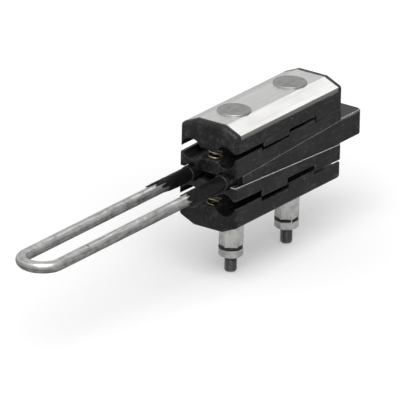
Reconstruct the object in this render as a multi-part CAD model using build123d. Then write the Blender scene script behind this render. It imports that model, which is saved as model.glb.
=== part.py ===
from build123d import *
from math import cos, radians, sin, sqrt, tan
import os

# Bolted strain clamp, wedge type, for the four insulated cores of a low-voltage line.
#
# Frame: millimetres, +Z up. The origin is the centre of the bail's eye, on the rod's centre line.
# +X runs from the eye to the clamp, and Z = 0 is the mid-plane of the wedge and of the bail.
# The two inner jaws ride on the wedge's sloping faces. The two outer jaws are drawn together by
# the bolts, and each pair of jaws holds two cores. Both outer jaws come from one form, turned
# over about X, and so do both inner jaws.

# ---------------------------------------------------------------- driving sizes
# bail: one rod bent to a U
rod_diameter = 9.5
leg_spacing = 32.0                # centre to centre
eye_to_jaws = 222.5               # from the eye's centre to the front ends of the jaws
leg_head_diameter = 13.0          # peened end that keeps the leg in the wedge
leg_head_length = 5.0
leg_reach_in_wedge = 88.0         # from the jaws' front to the leg's peened end

# sleeves on the bail's legs, torn at their outer ends
sleeve_wall = 1.3
near_sleeve_length = 54.0         # to the tip of the tongue
far_sleeve_length = 52.0
near_tear_length = 10.0           # from the tongue's tip to the deepest notch
far_tear_length = 21.0

# common plan of the four jaws
jaw_length = 146.0
jaw_width = 55.0
jaw_end_radius = 3.5              # round the end faces of the outer jaws
inner_corner_radius = 1.5
edge_radius = 0.8
bolt_spacing = 77.0
zone_count = 4                    # equal lengths of high and low side wall
cable_offset = 16.4               # the cores' centres, from the clamp's mid-plane

# outer jaw, heights from its flat back
outer_groove_floor = 14.5
outer_groove_radius = 10.0
outer_column_height = 20.0
outer_long_wall = 22.9
outer_short_wall = 18.5
flat_half_width = 13.2
facet_angle = 23.5

# inner jaw, heights from the wedge's face at the clamp's centre
inner_jaw_inset = 0.5             # of its sides behind the outer jaws' sides
inner_groove_floor = 4.9
inner_groove_radius = 9.5
inner_column_height = 8.8
inner_long_wall = 14.0
inner_short_wall = 10.8
inner_opposite_long_wall = 15.0
inner_opposite_short_wall = 9.5
inner_taper = 1.5                 # degrees between the wedge's face and the cable side

# wedge
wedge_half_thickness = 7.05       # at the clamp's centre
wedge_face_angle = 2.62
wedge_inset = 0.4                 # of its sides behind the inner jaws' sides
wedge_front_setback = 11.0        # behind the jaws' front ends
wedge_rear_overhang = 30.0        # past the jaws' rear ends
wedge_corner_radius = 5.0
socket_wall = 1.6
socket_reach = 6.0                # past the jaws' front ends
pull_travel = 12.0                # the clamp towards the wedge's thick end
return_travel = 8.0               # the clamp towards the wedge's thin end

# heights of the cable spaces, between the groove floors at the clamp's centre
upper_cable_space = 16.6
lower_cable_space = 17.9

# upper pressure plate, an extruded strip
plate_length = 135.0
plate_thickness = 2.0
plate_lip = 3.5
plate_inset = 0.4                 # of its lips behind the jaw's sides
flange_proud = 0.3                # of the jaw's ends above the plate
shoulder_radius = 3.5

# fasteners, M10
bolt_diameter = 9.9
bolt_neck = 10.0
bolt_head_diameter = 27.4
bolt_head_height = 1.8
bolt_head_edge = 0.9              # height of its rim
bolt_head_slope = 2.6             # width of the sloping ring inside the rim
stud_projection = 12.8            # past the nut
washer_diameter = 20.0
washer_thickness = 2.0
nut_width = 17.0
nut_length = 30.6
nut_groove_from_end = 7.8         # groove's middle, from the free end
nut_groove_width = 2.6
nut_groove_depth = 1.6
nut_chamfer = 1.6
ring_diameter = 19.4
ring_height = 2.0
ring_gap = 4.0
ring_offset = 0.35                # how far the loose ring hangs off centre
ring_gap_directions = (-20.0, -110.0)   # degrees about Z, front and rear
nut_turn = 5.0                    # degrees about Z

# springs that hold the jaws open for the cores
spring_offset = 10.0              # from the jaws' ends
spring_diameter = 12.0
spring_wire = 1.4
spring_turns = 4
spring_runs_per_turn = 12
outer_pocket_depth = 3.0
inner_pocket_depth = 2.0

# clearances
bolt_clearance = 0.6              # holes and slots round the shanks, each side
thread_clearance = 0.1            # the nut's bore round the shank, each side
face_clearance = 0.1              # the inner jaws on the wedge
tooth_clearance = 0.8             # a low zone past the facing high zone, each end
leg_clearance = 0.1               # bores round the bail's legs, each side
channel_clearance = 0.8           # the inner jaws' channels round the wedge's sockets
spring_clearance = 0.4            # pockets round the springs, each side
seat_gap = 0.1                    # spring ends from their seats
ring_clearance = 0.3              # the ring in its groove, top and bottom

# ---------------------------------------------------------------- derived places
centre_x = eye_to_jaws + jaw_length / 2
front_x = eye_to_jaws
rear_x = eye_to_jaws + jaw_length
bolt_places = (("front", centre_x - bolt_spacing / 2), ("rear", centre_x + bolt_spacing / 2))
spring_places = (("front", front_x + spring_offset), ("rear", rear_x - spring_offset))
leg_y = leg_spacing / 2
inner_jaw_width = jaw_width - 2 * inner_jaw_inset
wedge_width = inner_jaw_width - 2 * wedge_inset
zone_length = jaw_length / zone_count
face_slope = tan(radians(wedge_face_angle))
facet_slope = tan(radians(facet_angle))
cable_side_angle = wedge_face_angle - inner_taper
cable_side_slope = tan(radians(cable_side_angle))

inner_floor_z = wedge_half_thickness + face_clearance + inner_groove_floor
upper_back_z = inner_floor_z + upper_cable_space + outer_groove_floor
lower_back_z = -(inner_floor_z + lower_cable_space + outer_groove_floor)
plate_top_z = upper_back_z + plate_thickness
plate_half_width = jaw_width / 2 - plate_inset
plate_front_x = centre_x - plate_length / 2
nut_top_z = lower_back_z - washer_thickness
nut_bottom_z = nut_top_z - nut_length
groove_z = nut_bottom_z + nut_groove_from_end
stud_end_z = nut_bottom_z - stud_projection

socket_radius = rod_diameter / 2 + leg_clearance + socket_wall
socket_front_x = front_x - socket_reach
leg_end_x = front_x + leg_reach_in_wedge
window_half_width = leg_head_diameter / 2 + leg_clearance
window_margin = 2 * leg_clearance
hole_radius = bolt_diameter / 2 + bolt_clearance
pocket_radius = spring_diameter / 2 + spring_clearance
overrun = wedge_half_thickness    # past the jaws' ends, for blanks that are cut back to length
reach = 10 * jaw_width            # larger than any piece, for cuts that pass right through


# ---------------------------------------------------------------- shared forms
def upright(radius, x, low, high):
    """A vertical cylinder between two heights."""
    return Pos(x, 0, low) * Cylinder(radius, high - low, align=(Align.CENTER, Align.CENTER, Align.MIN))


def block(x0, x1, y0, y1, z0, z1):
    """A box between two corners."""
    return Pos((x0 + x1) / 2, (y0 + y1) / 2, (z0 + z1) / 2) * Box(x1 - x0, y1 - y0, z1 - z0)


def along_x(face, x0, x1):
    """A section drawn in Y and Z, carried from x0 to x1."""
    return Pos(x0, 0, 0) * extrude(Plane.YZ * face, x1 - x0)


def rod_along_x(radius, x0, x1, y, z=0.0):
    """A round rod parallel to X."""
    return along_x(Pos(y, z) * Circle(radius), x0, x1)


def turned_over(solid):
    """The same form, turned half a turn about the X axis."""
    return Rot(180, 0, 0) * solid


def symmetric_section(half_outline):
    """A closed section from its outline at +Y, which starts and ends at Y = 0."""
    mirrored = [(-y, z) for y, z in reversed(half_outline) if y > 0]
    return make_face(Polyline(*half_outline, *mirrored, close=True))


def wall_levels(first, second):
    """Heights of a side wall's zones, front to rear."""
    return [second if zone % 2 else first for zone in range(zone_count)]


def cut_side_wall(jaw, side, levels):
    """Cut the side wall at -Y or +Y down to the height of each of its zones.

    The low zones are cut wider by a clearance, because the facing jaw's high zones enter them."""
    near_y, far_y = sorted((side * cable_offset, side * jaw_width))
    for zone, level in enumerate(levels):
        margin = tooth_clearance if level == min(levels) else 0
        start = front_x + zone * zone_length - (jaw_length if zone == 0 else margin)
        end = front_x + (zone + 1) * zone_length + (jaw_length if zone == zone_count - 1 else margin)
        jaw -= block(start, end, near_y, far_y, level, reach)
    return jaw


# ---------------------------------------------------------------- outer jaws and plate
def facet_fall(half_width):
    """How far the sloping facet falls between the flat and this half width."""
    return (half_width - flat_half_width) * facet_slope


def outer_jaw(back):
    """An outer jaw whose grooves open upwards, with its flat back at this height.

    Every other height is measured from 0, where the plate or the washers seat."""
    half = jaw_width / 2
    side_z = back + facet_fall(half)
    section = symmetric_section([
        (0, back), (flat_half_width, back), (half, side_z), (half, outer_long_wall), (0, outer_long_wall)])
    shoulders = [v for v in section.vertices() if abs(v.Y - side_z) < 0.01]
    section = fillet(shoulders, shoulder_radius)
    for side in (-1, 1):
        section -= Pos(side * cable_offset, outer_groove_floor + outer_groove_radius) * Circle(outer_groove_radius)
    section -= Pos(0, outer_column_height) * Rectangle(
        2 * cable_offset, outer_groove_radius, align=(Align.CENTER, Align.MIN))
    jaw = along_x(section, front_x, rear_x)
    rim = [
        edge for end in (0, -1) for edge in jaw.edges().group_by(Axis.X)[end]
        if abs(edge.center().Y) > half - 0.01 or edge.center().Z < side_z + shoulder_radius]
    jaw = fillet(rim, jaw_end_radius)
    jaw = cut_side_wall(jaw, -1, wall_levels(outer_long_wall, outer_short_wall))
    jaw = cut_side_wall(jaw, 1, wall_levels(outer_short_wall, outer_long_wall))
    for _, x in bolt_places:
        jaw -= upright(hole_radius, x, back - 1, reach)
    for _, x in spring_places:
        jaw -= upright(pocket_radius, x, outer_column_height - outer_pocket_depth, reach)
    return jaw


def plate_outline(depth):
    """Half-outline of the plate's outer face (depth 0) or inner face (depth = its thickness)."""
    half = plate_half_width - depth
    lip_end = -plate_thickness + facet_fall(plate_half_width) + plate_lip
    level = depth - plate_thickness
    return [(0, level), (flat_half_width, level), (half, level + facet_fall(half)), (half, lip_end)]


def upper_outer_jaw():
    """The outer jaw with the plate's channel between its raised ends, turned over to its place."""
    jaw = outer_jaw(-plate_thickness - flange_proud)
    channel = plate_outline(plate_thickness) + [(jaw_width, plate_outline(0)[-1][1]), (jaw_width, -reach), (0, -reach)]
    jaw -= along_x(symmetric_section(channel), plate_front_x, plate_front_x + plate_length)
    return Pos(0, 0, upper_back_z) * turned_over(jaw)


def lower_outer_jaw():
    """The plain outer jaw, in its place under the wedge."""
    return Pos(0, 0, lower_back_z) * outer_jaw(0)


def pressure_plate():
    """The extruded aluminium plate on the upper jaw, with square holes for the bolts' necks."""
    section = symmetric_section(plate_outline(0) + plate_outline(plate_thickness)[::-1])
    plate = along_x(section, plate_front_x, plate_front_x + plate_length)
    half_neck = bolt_neck / 2 + thread_clearance
    for _, x in bolt_places:
        plate -= block(x - half_neck, x + half_neck, -half_neck, half_neck, -reach, reach)
    return Pos(0, 0, upper_back_z) * turned_over(plate)


# ---------------------------------------------------------------- inner jaws
def inner_jaw():
    """The upper inner jaw: grooves up, and a sloping face below that rides on the wedge."""
    half = inner_jaw_width / 2
    base = wedge_half_thickness + face_clearance
    low = -inner_long_wall
    high = inner_opposite_long_wall
    section = Rectangle(2 * half, high - low, align=(Align.CENTER, Align.MIN))
    section = Pos(0, low) * section
    for side in (-1, 1):
        section -= Pos(side * cable_offset, inner_groove_floor + inner_groove_radius) * Circle(inner_groove_radius)
    section -= Pos(0, inner_column_height) * Rectangle(
        2 * cable_offset, inner_groove_radius, align=(Align.CENTER, Align.MIN))
    blank = along_x(section, front_x - overrun, rear_x + overrun)
    blank = cut_side_wall(blank, -1, wall_levels(inner_long_wall, inner_short_wall))
    blank = cut_side_wall(blank, 1, wall_levels(inner_opposite_short_wall, inner_opposite_long_wall))
    jaw = Pos(centre_x, 0, base) * Rot(0, -cable_side_angle, 0) * Pos(-centre_x, 0, 0) * blank
    plan = Pos(centre_x, 0) * RectangleRounded(jaw_length, inner_jaw_width, inner_corner_radius)
    jaw &= extrude(plan, reach, both=True)
    below = block(front_x - overrun, rear_x + overrun, -reach, reach, -reach, 0)
    jaw -= Pos(centre_x, 0, base) * Rot(0, -wedge_face_angle, 0) * Pos(-centre_x, 0, 0) * below
    for side in (-1, 1):
        jaw -= rod_along_x(socket_radius + channel_clearance, front_x - 1, rear_x + 1, side * leg_y)
    for _, x in bolt_places:
        jaw -= upright(hole_radius, x, 0, reach)
    for _, x in spring_places:
        floor = inner_column_top(x) - inner_pocket_depth
        jaw -= upright(pocket_radius, x, floor, reach)
    return jaw


def inner_column_top(x):
    """Height of the upper inner jaw's centre column at this place along the clamp."""
    base = wedge_half_thickness + face_clearance
    return base + inner_column_height / cos(radians(cable_side_angle)) + (x - centre_x) * cable_side_slope


# ---------------------------------------------------------------- wedge, bail and sleeves
def wedge_core():
    """The wedge, level behind the jaws, with its bolt slots and the two sockets of the bail."""
    half = wedge_half_thickness
    front = front_x + wedge_front_setback
    rear = rear_x + wedge_rear_overhang
    level = half + (rear_x - centre_x) * face_slope
    profile = make_face(Polyline(
        (front, half + (front - centre_x) * face_slope), (rear_x, level), (rear, level),
        (rear, -level), (rear_x, -level), (front, -half - (front - centre_x) * face_slope), close=True))
    wedge = extrude(Plane.XZ * profile, wedge_width / 2, both=True)
    corners = wedge.edges().filter_by(Axis.Z).group_by(Axis.X)
    wedge = fillet(corners[-1], wedge_corner_radius)
    rim = [e for e in wedge.edges() if abs(e.center().Z) > half and abs(e.center().X - rear_x) > 0.1]
    wedge = chamfer([e for e in rim if e.center().X > centre_x], edge_radius)
    for side in (-1, 1):
        wedge += rod_along_x(socket_radius, socket_front_x, centre_x, side * leg_y)
    for _, x in bolt_places:
        slot = Pos(x + (pull_travel - return_travel) / 2, 0) * SlotOverall(
            2 * hole_radius + pull_travel + return_travel, 2 * hole_radius)
        wedge -= extrude(slot, reach, both=True)
    window_x = leg_end_x - leg_head_length
    for side in (-1, 1):
        y = side * leg_y
        wedge -= rod_along_x(rod_diameter / 2 + leg_clearance, socket_front_x - 1, leg_end_x, y)
        wedge -= block(window_x, leg_end_x + window_margin, y - window_half_width, y + window_half_width, -reach, reach)
    return wedge


def bail():
    """The rod bent to a U, with its two ends peened over inside the wedge."""
    line = Line((leg_end_x, -leg_y), (0, -leg_y))
    bend = ThreePointArc((0, -leg_y), (-leg_y, 0), (0, leg_y))
    path = line + bend + Line((0, leg_y), (leg_end_x, leg_y))
    rod = sweep(Plane(path @ 0, z_dir=path % 0) * Circle(rod_diameter / 2), path)
    for side in (-1, 1):
        rod += rod_along_x(leg_head_diameter / 2, leg_end_x - leg_head_length, leg_end_x, side * leg_y)
    return rod


def torn_sleeve(side, length, tear_length):
    """A tube on one leg, with a tongue left along its top where it tore."""
    start = socket_front_x - length
    outer = rod_diameter / 2 + sleeve_wall
    tube = rod_along_x(outer, start, socket_front_x, side * leg_y)
    tube -= rod_along_x(rod_diameter / 2, start - 1, socket_front_x + 1, side * leg_y)
    notch = make_face(Polyline(
        (start - 1, -outer - 1), (start + tear_length * 0.8, -outer - 1), (start + tear_length, -outer * 0.4),
        (start + tear_length * 0.7, 0), (start + tear_length * 0.9, outer * 0.35),
        (start + tear_length * 0.3, outer * 0.6), (start, outer), (start - 1, outer), close=True))
    return tube - Pos(0, side * leg_y, 0) * extrude(Plane.XZ * notch, outer + 1, both=True)


# ---------------------------------------------------------------- fasteners
def carriage_bolt(x):
    """A bolt with a large, flat, round head and a square neck, from the plate to the stud's end."""
    head = upright(bolt_head_diameter / 2, x, plate_top_z, plate_top_z + bolt_head_height)
    head = chamfer(head.edges().group_by(Axis.Z)[-1], bolt_head_height - bolt_head_edge, bolt_head_slope)
    bolt = head + Pos(x, 0, plate_top_z - plate_thickness) * Box(
        bolt_neck, bolt_neck, plate_thickness, align=(Align.CENTER, Align.CENTER, Align.MIN))
    shank = upright(bolt_diameter / 2, x, stud_end_z, plate_top_z)
    shank = chamfer(shank.edges().group_by(Axis.Z)[0], bolt_diameter * 0.1)
    return bolt + shank


def washer(x):
    """The flat washer between nut and lower jaw."""
    ring = upright(washer_diameter / 2, x, nut_top_z, lower_back_z)
    return ring - upright(hole_radius, x, nut_top_z - 1, lower_back_z + 1)


def shear_nut(x):
    """A long hexagon nut with a deep groove, where its lower hexagon shears off."""
    hexagon = RegularPolygon(nut_width / 2, 6, major_radius=False, rotation=nut_turn)
    nut = Pos(x, 0, nut_bottom_z) * extrude(hexagon, nut_length)
    corner = nut_width / sqrt(3)
    turned = upright(corner, x, nut_bottom_z, nut_top_z)
    turned = chamfer(turned.edges().group_by(Axis.Z)[0], nut_chamfer / 2, nut_chamfer)
    nut &= turned
    groove = upright(nut_width, x, groove_z - nut_groove_width / 2, groove_z + nut_groove_width / 2)
    nut -= groove - upright(nut_width / 2 - nut_groove_depth, x, groove_z - nut_groove_width, groove_z + nut_groove_width)
    return nut - upright(bolt_diameter / 2 + thread_clearance, x, nut_bottom_z - 1, nut_top_z + 1)


def split_ring(x, gap_direction):
    """The black ring in the nut's groove, open on one side and hanging a little off centre."""
    low = groove_z - nut_groove_width / 2 + ring_clearance
    inner = nut_width / 2 - nut_groove_depth + ring_offset + ring_clearance
    ring = upright(ring_diameter / 2, 0, low, low + ring_height)
    ring -= upright(inner, 0, low - 1, low + ring_height + 1)
    ring -= block(0, ring_diameter, -ring_gap / 2, ring_gap / 2, low - 1, low + ring_height + 1)
    return Pos(x, 0, 0) * Rot(0, 0, gap_direction) * Pos(-ring_offset, 0, 0) * ring


def spring(x, low, high):
    """An open coil spring between two seats, its wire made of short straight runs."""
    rise = high - low - spring_wire - 2 * seat_gap
    start = Pos(x, 0, low + seat_gap + spring_wire / 2)
    run_count = spring_turns * spring_runs_per_turn
    sections = []
    for run in range(run_count + 1):
        station = start * Pos(0, 0, rise * run / run_count) * Rot(0, 0, 360 * run / spring_runs_per_turn)
        wire = station * Pos((spring_diameter - spring_wire) / 2, 0, 0)
        corners = [
            Vector(spring_wire / 2 * cos(radians(60 * side)), 0, spring_wire / 2 * sin(radians(60 * side)))
            for side in range(6)]
        sections.append([(wire * Pos(corner)).position for corner in corners])
    faces = [Face(Wire.make_polygon(sections[0])), Face(Wire.make_polygon(sections[-1]))]
    for section, following in zip(sections, sections[1:]):
        for side in range(6):
            a, b = section[side - 1], section[side]
            c, d = following[side], following[side - 1]
            faces.append(Face(Wire.make_polygon([a, b, c])))
            faces.append(Face(Wire.make_polygon([a, c, d])))
    return Solid(Shell(faces))


# ---------------------------------------------------------------- assembly
def build_clamp():
    """Every piece of the clamp, by name."""
    pieces = {
        "wedge_core": wedge_core(),
        "bail": bail(),
        "near_sleeve": torn_sleeve(-1, near_sleeve_length, near_tear_length),
        "far_sleeve": torn_sleeve(1, far_sleeve_length, far_tear_length),
        "upper_outer_jaw": upper_outer_jaw(),
        "pressure_plate": pressure_plate(),
        "upper_inner_jaw": inner_jaw(),
        "lower_inner_jaw": turned_over(inner_jaw()),
        "lower_outer_jaw": lower_outer_jaw(),
    }
    for (name, x), direction in zip(bolt_places, ring_gap_directions):
        pieces[name + "_bolt"] = carriage_bolt(x)
        pieces[name + "_washer"] = washer(x)
        pieces[name + "_nut"] = shear_nut(x)
        pieces[name + "_nut_ring"] = split_ring(x, direction)
    for name, x in spring_places:
        inner_seat = inner_column_top(x) - inner_pocket_depth
        outer_depth = outer_column_height - outer_pocket_depth
        pieces["upper_" + name + "_spring"] = spring(x, inner_seat, upper_back_z - outer_depth)
        pieces["lower_" + name + "_spring"] = spring(x, lower_back_z + outer_depth, -inner_seat)
    return pieces


os.makedirs("parts", exist_ok=True)
for piece_name, piece in build_clamp().items():
    export_step(piece, f"parts/{piece_name}.step")
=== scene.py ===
"""Dresses the bolted wedge strain clamp: finishes, threads, springs, torn sleeves and moulding marks."""

import logging
import math
import random
from dataclasses import dataclass
from enum import Enum
from typing import Any, Sequence

import bmesh
import bpy
from mathutils import Matrix, Vector, noise


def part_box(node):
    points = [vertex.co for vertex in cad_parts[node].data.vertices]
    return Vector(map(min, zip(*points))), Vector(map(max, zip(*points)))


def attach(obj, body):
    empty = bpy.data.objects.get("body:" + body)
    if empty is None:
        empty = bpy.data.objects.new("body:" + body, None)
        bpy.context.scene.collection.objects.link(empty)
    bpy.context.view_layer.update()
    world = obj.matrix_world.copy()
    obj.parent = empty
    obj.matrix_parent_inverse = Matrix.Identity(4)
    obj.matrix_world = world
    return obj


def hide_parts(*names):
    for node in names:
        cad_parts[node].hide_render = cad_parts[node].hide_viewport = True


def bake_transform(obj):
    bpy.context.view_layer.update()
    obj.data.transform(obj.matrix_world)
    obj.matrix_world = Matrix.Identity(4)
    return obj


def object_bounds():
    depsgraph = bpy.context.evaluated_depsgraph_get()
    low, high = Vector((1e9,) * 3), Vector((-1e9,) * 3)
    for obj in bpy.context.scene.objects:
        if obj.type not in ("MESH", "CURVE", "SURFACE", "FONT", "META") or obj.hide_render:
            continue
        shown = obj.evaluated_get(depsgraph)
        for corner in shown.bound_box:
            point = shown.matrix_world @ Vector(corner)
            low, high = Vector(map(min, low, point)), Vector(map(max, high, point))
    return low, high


Colour = tuple[float, float, float]
Axes = tuple[float, float, float]
Span = tuple[float, float]
Socket = bpy.types.NodeSocket
Material = bpy.types.Material

LOG = logging.getLogger("strain_clamp")
MM = 0.001
WHITE = (1.0, 1.0, 1.0, 1.0)

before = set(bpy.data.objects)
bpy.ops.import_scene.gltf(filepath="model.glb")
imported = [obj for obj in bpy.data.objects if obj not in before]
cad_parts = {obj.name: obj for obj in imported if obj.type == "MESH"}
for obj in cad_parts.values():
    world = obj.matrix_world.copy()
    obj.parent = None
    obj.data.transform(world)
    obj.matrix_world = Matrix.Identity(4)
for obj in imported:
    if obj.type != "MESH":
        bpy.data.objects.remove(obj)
cad_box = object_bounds()


class Body(str, Enum):
    """The rigid bodies that the pieces made here follow."""

    WEDGE = "wedge_and_bail"
    FRAME = "clamp_frame"
    UPPER_INNER = "upper_inner"
    LOWER_INNER = "lower_inner"
    LOWER_OUTER = "lower_outer"


# ------------------------------------------------------------------ node helpers
class Wiring:
    """Adds the nodes of one shader tree and joins them."""

    def __init__(self, tree: bpy.types.NodeTree) -> None:
        """Takes the tree.

        Args:
            tree: The tree that receives the nodes.
        """
        self.tree = tree

    def plug(self, target: Socket, value: Any) -> None:
        """Links a socket, or sets a plain value on it.

        Args:
            target: The socket that receives the value.
            value: An output socket, a number, or a colour.
        """
        if isinstance(value, Socket):
            self.tree.links.new(value, target)
        else:
            target.default_value = value

    def node(self, kind: str, values: dict[Any, Any] | None = None, **settings: Any) -> bpy.types.Node:
        """Adds one node.

        Args:
            kind: The node's type.
            values: Values or links for its inputs, by name or index.
            settings: Properties of the node.

        Returns:
            The node.
        """
        node = self.tree.nodes.new(kind)
        for key, value in settings.items():
            setattr(node, key, value)
        for key, value in (values or {}).items():
            self.plug(node.inputs[key], value)
        return node

    def parts(self, vector: Socket) -> tuple[Socket, ...]:
        """Splits a vector.

        Args:
            vector: The vector.

        Returns:
            Its X, Y and Z.
        """
        return tuple(self.node("ShaderNodeSeparateXYZ", {0: vector}).outputs)

    def remap(self, value: Socket, low: float, high: float, to_low: float, to_high: float,
              **settings: Any) -> Socket:
        """Maps a range of a value to another range, clamped.

        Args:
            value: The input.
            low: Input value that gives to_low.
            high: Input value that gives to_high.
            to_low: First output limit.
            to_high: Second output limit.
            settings: Properties of the node.

        Returns:
            The mapped value.
        """
        return self.node("ShaderNodeMapRange", {
            "Value": value, "From Min": low, "From Max": high, "To Min": to_low, "To Max": to_high,
        }, **settings).outputs["Result"]

    def math(self, operation: str, first: Any, second: Any = 0.0) -> Socket:
        """One step of arithmetic.

        Args:
            operation: Name of the operation, such as MULTIPLY.
            first: First operand.
            second: Second operand.

        Returns:
            The result.
        """
        return self.node("ShaderNodeMath", {0: first, 1: second}, operation=operation).outputs[0]

    def measure(self, operation: str, first: Any, second: Any) -> Socket:
        """A number taken from two vectors.

        Args:
            operation: DOT_PRODUCT or DISTANCE.
            first: First vector.
            second: Second vector.

        Returns:
            The number.
        """
        made = self.node("ShaderNodeVectorMath", {0: first, 1: second}, operation=operation)
        return made.outputs["Value"]

    def vector(self, x: Any, y: Any, z: Any) -> Socket:
        """Joins three numbers.

        Args:
            x: Its X.
            y: Its Y.
            z: Its Z.

        Returns:
            The vector.
        """
        return self.node("ShaderNodeCombineXYZ", {0: x, 1: y, 2: z}).outputs[0]

    def between(self, share: Any, first: Any, second: Any) -> Socket:
        """Mixes two numbers.

        Args:
            share: How much of the second number counts.
            first: Number where the share is 0.
            second: Number where the share is 1.

        Returns:
            The mixed number.
        """
        return self.node("ShaderNodeMix", {0: share, 2: first, 3: second}).outputs[0]

    def blend(self, share: Any, first: Any, second: Any) -> Socket:
        """Mixes two colours.

        Args:
            share: How much of the second colour shows.
            first: Colour where the share is 0.
            second: Colour where the share is 1.

        Returns:
            The mixed colour.
        """
        values = {0: share}
        for index, colour in ((6, first), (7, second)):
            values[index] = (*colour, 1.0) if isinstance(colour, tuple) else colour
        return self.node("ShaderNodeMix", values, data_type="RGBA").outputs[2]


@dataclass(frozen=True)
class Pattern:
    """A noise pattern, and how much of it shows.

    Args:
        scale: Features per metre.
        octaves: Number of octaves.
        rough: How strong the small octaves are.
        fades: Noise values where it begins and where it is full.
        shows: Its strength at these two values.
        stretch: Factors along X, Y and Z that draw it out along an axis.
    """

    scale: float
    octaves: float = 3.0
    rough: float = 0.55
    fades: Span = (0.0, 1.0)
    shows: Span = (0.0, 1.0)
    stretch: Axes | None = None


class Shading(Wiring):
    """Builds one procedural material from named node steps on Object coordinates."""

    def __init__(self, name: str) -> None:
        """Starts a material with a Principled shader.

        Args:
            name: The material's name.
        """
        self.material = bpy.data.materials.new(name)
        self.material.use_nodes = True
        super().__init__(self.material.node_tree)
        self.shader = self.tree.nodes["Principled BSDF"]
        self.position = self.node("ShaderNodeTexCoord").outputs["Object"]

    def noise(self, pattern: Pattern, vector: Socket | None = None) -> Socket:
        """Fractal noise between 0 and 1.

        Args:
            pattern: Its scale, octaves and stretch.
            vector: Coordinates, or the object's own.

        Returns:
            The noise's value.
        """
        place_in = self.position if vector is None else vector
        if pattern.stretch is not None:
            place_in = self.node("ShaderNodeMapping", {
                "Scale": pattern.stretch, "Vector": place_in}).outputs["Vector"]
        return self.node("ShaderNodeTexNoise", {
            "Scale": pattern.scale, "Detail": pattern.octaves, "Roughness": pattern.rough,
            "Vector": place_in}).outputs["Fac"]

    def shown(self, pattern: Pattern) -> Socket:
        """How strongly a pattern shows at a point.

        Args:
            pattern: The pattern.

        Returns:
            Its strength.
        """
        return self.remap(self.noise(pattern), *pattern.fades, *pattern.shows)

    def faces(self) -> Socket:
        """Returns the direction in which the surface faces."""
        return self.node("ShaderNodeNewGeometry").outputs["Normal"]

    def bump(self, height: Socket, distance: float, strength: float,
             below: Socket | None = None) -> Socket:
        """Turns a height into a shading normal.

        Args:
            height: Height between 0 and 1.
            distance: Real depth of that height, in metres.
            strength: Share of the effect.
            below: A normal to build on.

        Returns:
            The normal.
        """
        values = {"Distance": distance, "Strength": strength, "Height": height}
        if below is not None:
            values["Normal"] = below
        return self.node("ShaderNodeBump", values).outputs["Normal"]

    def rounded(self, radius: float) -> Socket:
        """A normal that rounds sharp edges.

        Args:
            radius: Radius of the rounding, in metres.

        Returns:
            The rounded normal.
        """
        return self.node("ShaderNodeBevel", {"Radius": radius}, samples=6).outputs["Normal"]

    def edges(self, normal: Socket) -> Socket:
        """How near a point is to a sharp edge, from the turn of its rounded normal.

        Args:
            normal: The rounded normal.

        Returns:
            0 on a flat face, rising to 1 on an edge.
        """
        return self.remap(self.measure("DOT_PRODUCT", normal, self.faces()), 0.999, 0.80, 0.0, 1.0)

    def finish(self, colour: Socket, roughness: Socket, normal: Socket, **constants: float) -> Material:
        """Fills the shader's sockets and returns the material.

        Args:
            colour: Base colour.
            roughness: Roughness.
            normal: Shading normal.
            constants: Other sockets by name, with underscores for spaces.

        Returns:
            The finished material.
        """
        self.plug(self.shader.inputs["Base Color"], colour)
        self.plug(self.shader.inputs["Roughness"], roughness)
        self.plug(self.shader.inputs["Normal"], normal)
        for key, value in constants.items():
            self.shader.inputs[key.replace("_", " ")].default_value = value
        return self.material


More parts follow.
